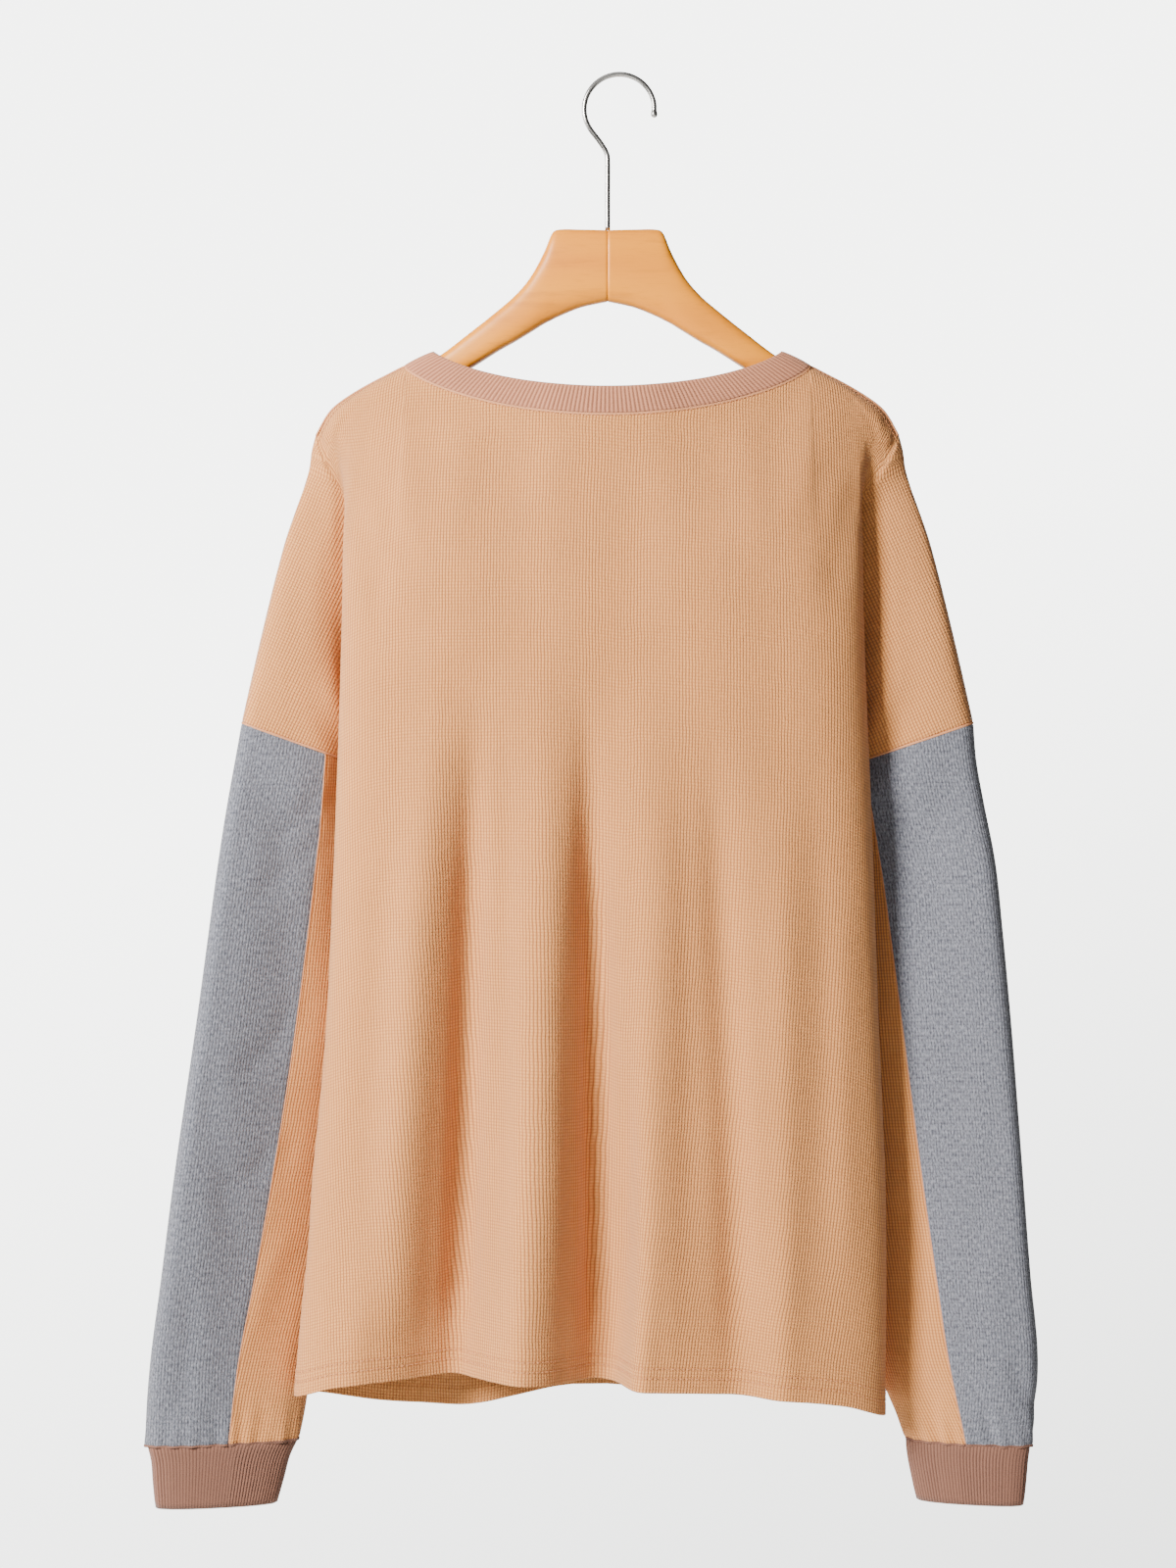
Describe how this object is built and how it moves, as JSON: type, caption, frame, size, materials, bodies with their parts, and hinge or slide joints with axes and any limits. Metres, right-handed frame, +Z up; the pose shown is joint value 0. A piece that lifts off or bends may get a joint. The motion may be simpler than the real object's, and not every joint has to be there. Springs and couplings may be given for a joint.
{
  "type": "henley shirt on a hanger",
  "caption": "Long-sleeved waffle-knit henley shirt in tan with heather-grey outer sleeve panels and ribbed neck and cuffs, hung on a contoured wooden hanger with a wire hook",
  "frame": {"origin": "the inside top of the hanger's hook, where it bears on a rail", "axes": "+Z up along the hanging shirt, +Y out of the shirt's front, +X to the wearer's right"},
  "size_m": [0.5958, 0.0962, 0.9547],
  "materials": {
    "tan_knit": "matte",
    "grey_knit": "matte",
    "rib_knit": "matte",
    "button": "satin",
    "wood": "satin",
    "metal": "polished"
  },
  "bodies": {
    "root": {"back": "tan_knit", "front": "tan_knit", "sleeve_left_outer": "grey_knit", "sleeve_left_under": "tan_knit", "sleeve_right_outer": "grey_knit", "sleeve_right_under": "tan_knit", "neckband": "rib_knit", "placket_upper": "tan_knit", "placket_under": "tan_knit", "button_1": "button", "button_2": "button", "button_3": "button", "cuff_left": "rib_knit", "cuff_right": "rib_knit", "hanger_left": "wood", "hanger_right": "wood", "hook": "metal"}
  },
  "joints": []
}
